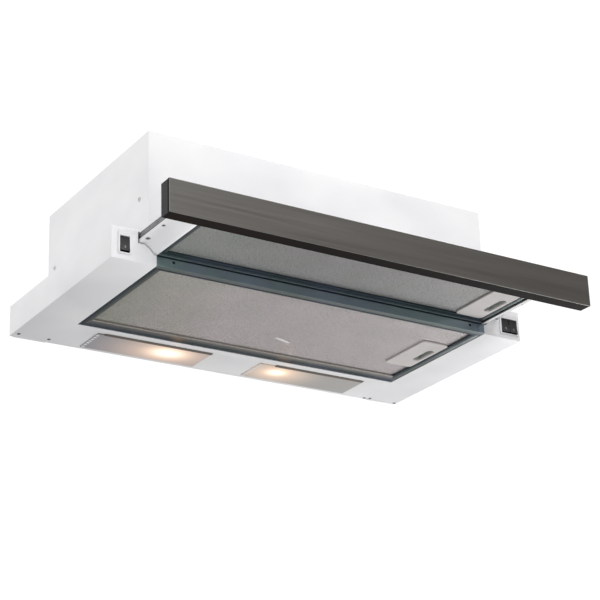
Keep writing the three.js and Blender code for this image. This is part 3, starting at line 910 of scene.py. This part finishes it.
NODES = FinishedNodes(
    (
        Recipe("canopy_pan", Look.ENAMEL, 0.2, 1.1),
        Recipe("motor_housing", Look.ENAMEL, 0.2, 1.2),
        # The rail's downward faces take a darker copy of its metal, painted shade.
        Recipe("front_rail", Look.ZINC, 0.25, under=Look.RAIL_UNDERSIDE_SHADE),
        Recipe("lamp_lens_left", Look.DIFFUSER_LEFT, 0.4),
        Recipe("lamp_lens_right", Look.DIFFUSER_RIGHT, 0.4),
        Recipe("drawer_top_cover", Look.ENAMEL, 0.2),
        Recipe("front_panel", Look.STAINLESS, 0.15),
        Recipe("scroll_housing", Look.DUCT, 0.4),
        Recipe("outlet_collar", Look.DUCT, 0.35),
        Recipe("junction_box", Look.TRIM, 0.5),
        Recipe("capacitor", Look.CAN, 0.3),
        *alike(Look.BEZEL, 0.35, *twins("switch_bezel")),
        *alike(Look.KEY, 0.6, "rocker_left", "rocker_right_inner", "rocker_right_outer"),
        *alike(Look.STEEL, 0.2, *twins("lamp_housing", "runner_channel", "runner_slide"), "capacitor_clip"),
        *alike(Look.STEEL, 0.3, *twins("motor_bracket")),
        *alike(Look.MOTOR_CAN, 0.4, *twins("motor")),
        *alike(Look.CERAMIC, 0.3, *twins("lamp_socket")),
        *alike(Look.OPAL, 0.0, *twins("lamp_bulb")),
        *alike(Look.HANDLE, 0.5, "body_filter_handle", "drawer_filter_handle"),
        *alike(Look.LATCH, 0.35, "body_filter_latch", "drawer_filter_latch"),
        *alike(Look.ZINC, 0.15, *twins("runner_cage")),
        *alike(Look.ZINC, 0.2, "drawer_crossbar", "drawer_rear_rail"),
        *alike(Look.ENAMEL, 0.25, *twins("drawer_side")),
        *alike(Look.TRIM, 0.4, "panel_carrier", "junction_lid"),
        *alike(Look.CAP, 0.3, *twins("panel_end_cap")),
        *alike(Look.DUCT, 0.0, *twins("impeller")),
        *alike(Look.DUCT, 0.2, "damper_flap_rear", "damper_flap_front"),
        *alike(Look.DUCT, 0.3, *twins("inlet_ring"), "damper_bridge", "cable_gland"),
    )
)


# ------------------------------------------------------------------ grease filters


@dataclass(frozen=True)
class FilterFrame:
    """Rolled aluminium frame of one grease filter: four bars with mitred corners.

    Each side bar, and the rear bar of the body filter, carries painted light and shade across it
    in place of a rounded crest.
    """

    node: str
    side_mm: float
    front_mm: float
    rear_mm: float
    rear: Look = Look.FRAME
    edge_mm: float = 0.5
    reach_m: float = 0.5

    def is_side(self, face: Side, box: Span) -> bool:
        """Whether a face belongs to a side bar.

        Args:
            face: a face of the frame.
            box: the frame's box.

        Returns:
            True outside the mitre lines of the front and rear bars.
        """
        mid = face.calc_center_median()
        across = (box.hi.x - abs(mid.x)) / (self.side_mm * MM)
        along_y = min((mid.y - box.lo.y) / (self.front_mm * MM), (box.hi.y - mid.y) / (self.rear_mm * MM))
        return across < along_y and across < 1.02

    def mitre(self, bm: Mesh, corner: Vector, way: Vector) -> None:
        """Cut the bars along one mitre.

        Args:
            bm: the frame's mesh.
            corner: the frame's corner.
            way: the way that the mitre runs.
        """
        near = [
            g
            for g in everything(bm)
            if not isinstance(g, Side) or (g.calc_center_median() - corner).length < self.reach_m
        ]
        normal = way.cross(Vector((0, 0, 1))).normalized()
        bmesh.ops.bisect_plane(bm, geom=near, dist=0.001 * MM, plane_co=corner, plane_no=normal)

    def build(self) -> None:
        """Make the frame, cut along its mitres."""
        box = Span.of(self.node)
        bm = SHOP.copy_of(self.node)
        SHOP.round_edges(bm, self.edge_mm, 3, least_deg=NODES.sharp_deg)
        for side in (-1, 1):
            for y, depth in ((box.lo.y, self.front_mm), (box.hi.y, -self.rear_mm)):
                way = Vector((-side * self.side_mm, depth, 0))
                self.mitre(bm, Vector((side * box.hi.x, y, 0)), way)
        for face in bm.faces:
            mid = face.calc_center_median()
            behind = mid.y > box.hi.y - (self.rear_mm + 0.1) * MM
            side = 1 if mid.x < 0 else 3
            face.material_index = side if self.is_side(face, box) else 2 * behind
        # The side bars and the body filter's rear bar take the finishes with painted light and shade.
        SHOP.stand_in(self.node, bm, Look.FRAME, Look.FRAME_LEFT, self.rear, Look.FRAME_RIGHT)


@dataclass(frozen=True)
class ExpandedMesh:
    """Outer layer of expanded aluminium in one grease filter.

    The strands run in zigzag rows along X. Real cells are near 3 mm, and these are 6 mm by
    4 mm so that they show.
    """

    prefix: str
    cell_x: float = 6.0
    cell_y: float = 4.0
    strand: float = 0.55
    thick: float = 0.35
    bond: float = 0.5
    margin: float = 1.2
    below: float = 0.08
    lap: float = 0.8
    strands: Look = Look.STRAND
    pack: Look = Look.PACK

    def row(self, bm: Mesh, start: Vector, cells: int) -> None:
        """Draw one zigzag strand.

        Args:
            bm: the mesh that takes it.
            start: its first corner.
            cells: the number of cells that it passes.
        """
        half = self.cell_x / 2 * MM
        rise = (self.cell_y / 2 - self.bond / 2) * MM
        made = bmesh.ops.create_grid(bm, x_segments=1, y_segments=1, size=0.5)
        turn = Matrix.Rotation(math.pi / 2, 4, "Y")
        size = Matrix.Diagonal((self.thick * MM, self.strand * MM, 1, 1))
        place = Matrix.Translation(start) @ turn @ size
        bmesh.ops.transform(bm, matrix=place, verts=made["verts"])
        front = list({f for v in made["verts"] for f in v.link_faces})
        for step in range(cells * 2):
            grown = bmesh.ops.extrude_face_region(bm, geom=front)
            leg = Vector((half, -rise if step % 2 else rise, 0))
            bmesh.ops.translate(bm, vec=leg, verts=corners(grown))
            if step:
                bmesh.ops.delete(bm, geom=front, context="FACES_ONLY")
            front = sides(grown)

    def build(self) -> None:
        """Make the layer just under the pack, open round the handle."""
        pack = Span.of(self.prefix + "_mesh")
        handle = Span.of(self.prefix + "_handle")
        bm = bmesh.new()
        room = pack.hi - pack.lo - 2 * self.margin * MM * Vector((1, 1, 0))
        cells = int(room.x / (self.cell_x * MM))
        rows = int(room.y / (self.cell_y * MM))
        z = pack.lo.z - (self.thick / 2 + self.below) * MM
        x0 = pack.mid.x - cells * self.cell_x * MM / 2
        y0 = pack.mid.y - rows * self.cell_y * MM / 2
        self.row(bm, Vector((x0, y0 + self.bond * MM / 2, z)), cells)
        twin = bmesh.ops.duplicate(bm, geom=everything(bm))
        mirror = Matrix.Translation((0, 2 * y0 + self.cell_y * MM, 0)) @ Matrix.Diagonal((1, -1, 1, 1))
        bmesh.ops.transform(bm, matrix=mirror, verts=corners(twin))
        bmesh.ops.reverse_faces(bm, faces=sides(twin))
        pair = everything(bm)
        for i in range(1, rows):
            more = bmesh.ops.duplicate(bm, geom=pair)
            bmesh.ops.translate(bm, vec=Vector((0, i * self.cell_y * MM, 0)), verts=corners(more))
        edge = self.lap * MM
        hidden = [
            f
            for f in bm.faces
            if handle.lo.x + edge < f.calc_center_median().x < handle.hi.x + 3 * edge
            and handle.lo.y + edge < f.calc_center_median().y < handle.hi.y - edge
        ]
        bmesh.ops.delete(bm, geom=hidden, context="FACES")
        body = BODY_OF[self.prefix + "_mesh"]
        SHOP.piece(self.prefix + "_strands", bm, body, "mesh_aluminium", self.strands)

    def dress_pack(self) -> None:
        """Give the CAD pack its finish."""
        node = frame["nodes"][self.prefix + "_mesh"]
        node.data.materials.clear()
        node.data.materials.append(self.pack.value.material())
        LOG.info("%s_mesh dressed", self.prefix)


# ------------------------------------------------------------------ screws and small trim


@dataclass(frozen=True)
class ScrewHead:
    """A pan-head screw: its seat, the way it faces, and its size.

    The dome, the cross recess and the skirt are given in head radii and head heights.
    """

    place: Vector
    facing: Vector
    radius_mm: float
    height_mm: float
    cells: int = 9
    dome: float = 0.75
    arm_width: float = 0.13
    arm_reach: float = 0.52
    recess: float = 0.55
    skirt: float = 0.25

    def draw(self) -> Mesh:
        """Draw the head with its cross recess.

        Returns:
            Its mesh, in place.
        """
        bm = bmesh.new()
        bmesh.ops.create_grid(bm, x_segments=self.cells, y_segments=self.cells, size=1.0)
        for vert in bm.verts:
            x, y = vert.co.x, vert.co.y
            vert.co.x = x * math.sqrt(1 - y * y / 2)
            vert.co.y = y * math.sqrt(1 - x * x / 2)
            vert.co.z = 1 - self.dome * (vert.co.x**2 + vert.co.y**2)
        rim = [e for e in bm.edges if e.is_boundary]
        cross = []
        for face in bm.faces:
            near, far = sorted(abs(v) for v in face.calc_center_median().xy)
            if near < self.arm_width and far < self.arm_reach:
                cross.append(face)
        dug = bmesh.ops.extrude_face_region(bm, geom=cross)
        bmesh.ops.translate(bm, vec=Vector((0, 0, -self.recess)), verts=corners(dug))
        bmesh.ops.delete(bm, geom=cross, context="FACES")
        fallen = corners(bmesh.ops.extrude_edge_only(bm, edges=rim))
        bmesh.ops.translate(bm, vec=Vector((0, 0, -self.skirt)), verts=fallen)
        size = Matrix.Diagonal((self.radius_mm * MM, self.radius_mm * MM, self.height_mm * MM, 1))
        turn = self.facing.to_track_quat("Z", "Y").to_matrix().to_4x4()
        bmesh.ops.transform(bm, matrix=Matrix.Translation(self.place) @ turn @ size, verts=bm.verts)
        bmesh.ops.remove_doubles(bm, verts=bm.verts, dist=0.001 * MM)
        bmesh.ops.recalc_face_normals(bm, faces=bm.faces)
        return bm


@dataclass(frozen=True)
class Screws:
    """The visible screws, grouped by the body that holds them."""

    housing_in_mm: tuple[float, float] = (22.5, 20.5)
    housing_drop_mm: float = 82.0
    hem_mm: tuple[tuple[float, float], ...] = (
        (-291.4, 12.5),
        (-249.4, 12.0),
        (243.5, 4.0),
        (252.0, 6.5),
        (295.0, 4.5),
    )
    rail_mm: tuple[float, float] = (217.3, 7.9)
    wing_mm: tuple[tuple[float, float, float], ...] = ((14.5, 3.8, 2.9), (55.0, 2.6, 2.2))
    wing_up_mm: float = 11.2
    runner_back_mm: float = 45.0

    def group(self, name: str, body: str, heads: Iterable[ScrewHead], look: Look) -> None:
        """Make one piece from several heads.

        Args:
            name: the piece's name.
            body: the body that holds them.
            heads: the screws.
            look: their plating.
        """
        bm = bmesh.new()
        for head in heads:
            single = head.draw()
            spare = bpy.data.meshes.new("spare")
            single.to_mesh(spare)
            single.free()
            bm.from_mesh(spare)
            bpy.data.meshes.remove(spare)
        SHOP.piece(name, bm, body, "runner_steel", look)

    def housing(self) -> Iterable[ScrewHead]:
        """Two screws on each side wall of the housing.

        Returns:
            The screws.
        """
        box = Span.of("motor_housing")
        front, rear = self.housing_in_mm
        for side in (-1, 1):
            x = box.lo.x if side < 0 else box.hi.x
            for y in (box.lo.y + front * MM, box.hi.y - rear * MM):
                place = Vector((x, y, box.hi.z - self.housing_drop_mm * MM))
                yield ScrewHead(place, Vector((side, 0, 0)), 3.2, 1.3)

    def hem(self) -> Iterable[ScrewHead]:
        """Screws along the rear hem and at its corners.

        Returns:
            The screws.
        """
        box = Span.of("canopy_pan")
        for x, y in self.hem_mm:
            yield ScrewHead(Vector((x * MM, box.hi.y - y * MM, box.lo.z)), Vector((0, 0, -1)), 2.4, 1.0)

    def rail(self) -> Iterable[ScrewHead]:
        """One screw near each end of the front rail.

        Returns:
            The screws.
        """
        box = Span.of("front_rail")
        x, up = self.rail_mm
        for side in (-1, 1):
            place = Vector((side * x * MM, box.lo.y, box.lo.z + up * MM))
            yield ScrewHead(place, Vector((0, -1, 0)), 1.9, 0.7)

    def wings(self) -> Iterable[ScrewHead]:
        """Two screws on the flat of each drawer side, and one on its runner.

        Returns:
            The screws.
        """
        box = Span.of("drawer_side_right")
        slide = Span.of("runner_slide_right")
        joint = Span.of("front_rail").lo.y
        z = box.lo.z + self.wing_up_mm * MM
        for side in (-1, 1):
            for back, inset, radius in self.wing_mm:
                place = Vector((side * (box.hi.x - inset * MM), joint - back * MM, z))
                yield ScrewHead(place, Vector((0, 0, -1)), radius, 1.2)
            place = Vector((side * slide.hi.x, joint - self.runner_back_mm * MM, slide.mid.z))
            yield ScrewHead(place, Vector((side, 0, 0)), 2.0, 0.5)

    def build(self) -> None:
        """Make every group."""
        self.group("housing_screws", "hood", self.housing(), Look.PAINTED_SCREW)
        self.group("hem_screws", "hood", self.hem(), Look.STEEL)
        self.group("rail_screws", "hood", self.rail(), Look.BLACK_SCREW)
        self.group("drawer_screws", "drawer", self.wings(), Look.STEEL)


@dataclass(frozen=True)
class MeshHighlightPatch:
    """A bright patch under the strands of the body filter: a painted highlight."""

    start_mm: tuple[float, float] = (10.3, -143.9)
    end_mm: tuple[float, float] = (36.5, -135.6)
    width_mm: float = 5.0
    thick_mm: float = 0.2
    below_mm: float = 0.75

    def build(self) -> None:
        """Make the painted highlight patch just under the strands."""
        z = Span.of("body_filter_mesh").lo.z - self.below_mm * MM
        start, end = (Vector((x * MM, y * MM, z)) for x, y in (self.start_mm, self.end_mm))
        turn = (end - start).to_track_quat("X", "Z").to_matrix().to_4x4()
        size = Matrix.Diagonal(((end - start).length, self.width_mm * MM, self.thick_mm * MM, 1))
        bm = bmesh.new()
        block(bm, Matrix.Translation((start + end) / 2) @ turn @ size, 0.09)
        body = BODY_OF["body_filter_mesh"]
        SHOP.piece("mesh_painted_highlight", bm, body, "mesh_aluminium", Look.STRAND_HIGHLIGHT)


@dataclass(frozen=True)
class BodyTrim:
    """Small fixed pieces: panel seams, corner tabs, lamp gaskets, lamp lugs and rail ends."""

    tabs_mm: tuple[tuple[float, float], ...] = ((-295, -249), (249, 295))
    tab_mm: float = 3.4
    tab_thick_mm: float = 0.8
    gaskets_mm: tuple[tuple[float, float], ...] = ((-194.0, -37.5), (61.0, 202.0))
    gasket_y_mm: tuple[float, float] = (-5.2, -0.2)
    gasket_z_mm: tuple[float, float] = (-0.6, 0.7)
    rail_end_mm: float = 9.8
    lugs: int = 7
    lug_mm: tuple[float, float, float] = (4.0, 3.4, 1.2)
    lug_pitch_mm: float = 7.0
    seam_mm: float = 2.6
    seam_thick_mm: float = 0.3

    def panel_seams(self) -> None:
        """Dark strips where the panel's skin meets its end caps."""
        bm = bmesh.new()
        for node, side in (("panel_end_cap_left", -1), ("panel_end_cap_right", 1)):
            box = Span.of(node)
            face = box.lo.x if side < 0 else box.hi.x
            inner, outer = sorted((face, face + side * self.seam_thick_mm * MM))
            lo = Vector((inner, box.lo.y + 0.1 * MM, box.lo.z))
            bar(bm, lo, Vector((outer, box.lo.y + self.seam_mm * MM, box.hi.z)), 0.1)
        SHOP.piece("panel_seams", bm, BODY_OF["front_panel"], "panel_trim", Look.TRIM)

    def rear_tabs(self) -> None:
        """Folded tabs along the rear edge, one at each corner."""
        box = Span.of("canopy_pan")
        bm = bmesh.new()
        y1 = box.hi.y - 0.3 * MM
        z1 = box.lo.z - 0.02 * MM
        for start, end in self.tabs_mm:
            lo = Vector((start * MM, y1 - self.tab_mm * MM, z1 - self.tab_thick_mm * MM))
            bar(bm, lo, Vector((end * MM, y1, z1)), 0.25)
        SHOP.piece("rear_tabs", bm, "hood", "white_enamel", Look.ENAMEL)

    def lamp_gaskets(self) -> None:
        """Dark foam strips along the front edges of the lamp covers."""
        bm = bmesh.new()
        box = Span.of("lamp_lens_left")
        front, back = (box.lo.y + y * MM for y in self.gasket_y_mm)
        low, high = (box.lo.z + z * MM for z in self.gasket_z_mm)
        for start, end in self.gaskets_mm:
            bar(bm, Vector((start * MM, front, low)), Vector((end * MM, back, high)), 0.4)
        SHOP.piece("lamp_gaskets", bm, "hood", "panel_trim", Look.FOAM)

    def lamp_lugs(self) -> None:
        """Small moulded lugs along the left end of each lamp cover."""
        bm = bmesh.new()
        for node in ("lamp_lens_left", "lamp_lens_right"):
            box = Span.of(node)
            for i in range(self.lugs):
                lo = box.lo + Vector((0.2, 3.0 + i * self.lug_pitch_mm, -0.5)) * MM
                bar(bm, lo, lo + Vector(self.lug_mm) * MM, 0.3)
        SHOP.piece("lamp_lugs", bm, "hood", "white_enamel", Look.BEZEL)

    def rail_ends(self) -> None:
        """Plated lugs that cover the ends of the front rail."""
        box = Span.of("front_rail")
        bm = bmesh.new()
        y1 = box.lo.y - 0.02 * MM
        for side in (-1, 1):
            inner, outer = sorted((side * (box.hi.x - self.rail_end_mm * MM), side * box.hi.x))
            lo = Vector((inner, y1 - 0.6 * MM, box.lo.z + 0.2 * MM))
            bar(bm, lo, Vector((outer, y1, box.hi.z - 0.2 * MM)), 0.2)
        SHOP.piece("rail_ends", bm, "hood", "zinc_blue", Look.ZINC)

    def build(self) -> None:
        """Make all of them."""
        self.panel_seams()
        self.rear_tabs()
        self.lamp_gaskets()
        self.lamp_lugs()
        self.rail_ends()


@dataclass(frozen=True)
class RockerMark:
    """A small raised bar on the lower half of a rocker key."""

    node: str
    bar_mm: tuple[float, float, float] = (1.2, 0.3, 3.4)
    in_mm: float = 1.2
    up_mm: float = 5.3
    slope_deg: float = -13.8

    def build(self) -> None:
        """Make the mark, lying on the key's lower slope."""
        box = Span.of(self.node)
        slope = Matrix.Rotation(math.radians(self.slope_deg), 4, "X")
        size = Matrix.Diagonal((*(v * MM for v in self.bar_mm), 1))
        seat = Vector((box.mid.x, box.lo.y + self.in_mm * MM, box.lo.z + self.up_mm * MM))
        bm = bmesh.new()
        block(bm, Matrix.Translation(seat) @ slope @ size, 0.08)
        SHOP.piece(self.node + "_mark", bm, BODY_OF[self.node], "handle_grey", Look.MARK)


# ------------------------------------------------------------------ studio


@dataclass(frozen=True)
class Softbox:
    """A rectangular light that faces a point."""

    name: str
    place: tuple[float, float, float]
    target: tuple[float, float, float]
    size: tuple[float, float]
    power: float

    def build(self) -> None:
        """Make the light."""
        data = bpy.data.lights.new(self.name, "AREA")
        data.shape = "RECTANGLE"
        data.size, data.size_y = self.size
        data.energy = self.power
        made = place_object(self.name, data)
        made.location = self.place
        aim = Vector(self.target) - Vector(self.place)
        made.rotation_mode = "QUATERNION"
        made.rotation_quaternion = aim.to_track_quat("-Z", "Y")
        made.visible_camera = False


@dataclass(frozen=True)
class LampSpill:
    """Warm light that leaks from under a lamp cover onto the sheet around it."""

    node: str
    x_mm: float = 84.0
    in_mm: float = 8.0
    drop_mm: float = 14.0
    radius_mm: float = 8.0
    power: float = 0.0025
    tint: str = "FFB070"

    def build(self) -> None:
        """Make the light just below the cover."""
        box = Span.of(self.node)
        side = -1 if box.mid.x < 0 else 1
        data = bpy.data.lights.new(self.node + "_spill", "POINT")
        data.energy = self.power
        data.color = linear(self.tint)[:3]
        data.shadow_soft_size = self.radius_mm * MM
        data.specular_factor = 0.0
        made = place_object(self.node + "_spill", data)
        made.location = (side * self.x_mm * MM, box.lo.y + self.in_mm * MM, box.lo.z - self.drop_mm * MM)
        made.visible_camera = False


@dataclass(frozen=True)
class Flag:
    """A grey card in the surround: where it hangs, its soft edge, and its colour."""

    way: tuple[float, float, float]
    outer: float
    inner: float
    colour: str


HOOD_CENTRE = (0.0, -0.2, 0.03)


@dataclass(frozen=True)
class Studio:
    """Pale floor, soft lights and an even surround with four grey cards."""

    floor_z: float = -2.7
    floor_size: float = 4.5
    surround: float = 1.055
    cards: tuple[Flag, ...] = (
        Flag((0.60, -0.71, 0.36), 0.78, 0.98, "564C49"),
        Flag((0.0, 0.0, -1.0), 0.42, 0.75, "646668"),
        Flag((0.42, 0.72, -0.55), 0.74, 0.93, "5C5E60"),
        Flag((0.0, 0.0, 1.0), 0.76, 0.94, "B0B0B2"),
    )
    lights: tuple[Softbox, ...] = (
        Softbox("key_front", (0.35, -2.1, 2.1), HOOD_CENTRE, (1.2, 0.9), 14),
        Softbox("fill_right", (1.6, -1.9, -0.9), HOOD_CENTRE, (1.2, 1.0), 1.6),
        Softbox("fill_front", (1.2, -1.1, 2.2), (0.2, -0.28, 0.05), (0.9, 0.9), 22),
        Softbox("fill_below", (1.15, 0.1, -0.85), (0.25, -0.15, 0.0), (0.8, 0.8), 11),
        Softbox("bounce_left", (-0.25, -0.44, -0.16), (-0.257, -0.37, 0.0), (0.05, 0.05), 0.12),
        Softbox("top", (-0.4, 0.6, 2.2), HOOD_CENTRE, (2.2, 2.0), 1.5),
    )

    def floor(self) -> None:
        """A wide pale floor well below the hood."""
        bm = bmesh.new()
        bmesh.ops.create_grid(bm, x_segments=1, y_segments=1, size=self.floor_size)
        bmesh.ops.translate(bm, vec=Vector((0, 0, self.floor_z)), verts=bm.verts)
        mesh = bpy.data.meshes.new("floor")
        bm.to_mesh(mesh)
        bm.free()
        mesh.materials.append(Look.FLOOR.value.material())
        place_object("floor", mesh)

    def flag(self, tree: Tree, way: Socket, card: Flag, under: Socket | None) -> Socket:
        """Hang a grey card in the surround.

        Args:
            tree: the world's node tree.
            way: the direction looked in.
            card: the card.
            under: the colour it covers, or white.

        Returns:
            The colour with the card in place.
        """
        facing = {"operation": "DOT_PRODUCT", 1: Vector(card.way).normalized()}
        toward = add_node(tree, "VectorMath", facing, _0=way).outputs["Value"]
        share = add_node(tree, "MapRange", {1: card.outer, 2: card.inner}, Value=toward)
        settings = {"data_type": "RGBA", 6: linear("FFFFFF"), 7: linear(card.colour)}
        links = {"_0": share.outputs["Result"]} | ({} if under is None else {"_6": under})
        return add_node(tree, "Mix", settings, **links).outputs[2]

    def world(self) -> None:
        """White surround with its grey cards, for the steel and the sheets to reflect."""
        world = bpy.data.worlds.new("studio")
        world.use_nodes = True
        bpy.context.scene.world = world
        tree = world.node_tree
        tree.nodes.clear()
        way = add_node(tree, "TexCoord").outputs["Generated"]
        shade = None
        for card in self.cards:
            shade = self.flag(tree, way, card, shade)
        light = add_node(tree, "Background", {"Strength": self.surround}, Color=shade)
        add_node(tree, "OutputWorld", None, Surface=light.outputs["Background"])

    def build(self) -> None:
        """Set up the floor, the surround and the lights."""
        self.floor()
        self.world()
        for light in self.lights:
            light.build()
        settings = bpy.context.scene.view_settings
        settings.view_transform = "Standard"
        settings.look = "None"


@dataclass(frozen=True)
class View:
    """Camera low on the left front, looking up at the underside."""

    place: tuple[float, float, float] = (-1.1505, -1.999, -0.8677)
    azimuth_deg: float = 32.71
    elevation_deg: float = 21.90
    roll_deg: float = -1.87
    lens_mm: float = 108.33
    sensor_mm: float = 36.0
    shift: tuple[float, float] = (0.0094, 0.0031)
    clip_m: tuple[float, float] = (0.05, 60.0)

    def build(self) -> None:
        """Make the camera."""
        a, e, r = (math.radians(v) for v in (self.azimuth_deg, self.elevation_deg, self.roll_deg))
        ahead = Vector((math.sin(a) * math.cos(e), math.cos(a) * math.cos(e), math.sin(e)))
        level = ahead.cross(Vector((0, 0, 1))).normalized()
        upright = level.cross(ahead)
        right = math.cos(r) * level + math.sin(r) * upright
        up = -math.sin(r) * level + math.cos(r) * upright
        data = bpy.data.cameras.new("camera")
        data.lens = self.lens_mm
        data.sensor_width = self.sensor_mm
        data.shift_x, data.shift_y = self.shift
        data.clip_start, data.clip_end = self.clip_m
        made = place_object("camera", data)
        turn = Matrix((right, up, -ahead)).transposed().to_4x4()
        made.matrix_world = Matrix.Translation(self.place) @ turn
        bpy.context.scene.camera = made


# ------------------------------------------------------------------ assembly


def main() -> None:
    """Build the studio, then every piece of the hood in order."""
    logging.basicConfig(level=logging.INFO, format="%(name)s: %(message)s")
    View().build()
    Studio().build()
    NODES.build()
    FilterFrame("body_filter_frame", 9.5, 3.0, 19.0, Look.FRAME_REAR).build()
    FilterFrame("drawer_filter_frame", 6.3, 5.0, 5.0).build()
    for layer in (
        ExpandedMesh("body_filter"),
        # The drawer filter takes the darker copies, painted shade.
        ExpandedMesh("drawer_filter", strands=Look.STRAND_SHADED, pack=Look.PACK_SHADED),
    ):
        layer.dress_pack()
        layer.build()
    Screws().build()
    # A painted highlight on the body filter's mesh.
    MeshHighlightPatch().build()
    BodyTrim().build()
    for node in ("rocker_left", "rocker_right_inner", "rocker_right_outer"):
        RockerMark(node).build()
    for node in ("lamp_lens_left", "lamp_lens_right"):
        LampSpill(node).build()


if __name__ == "__main__":
    main()
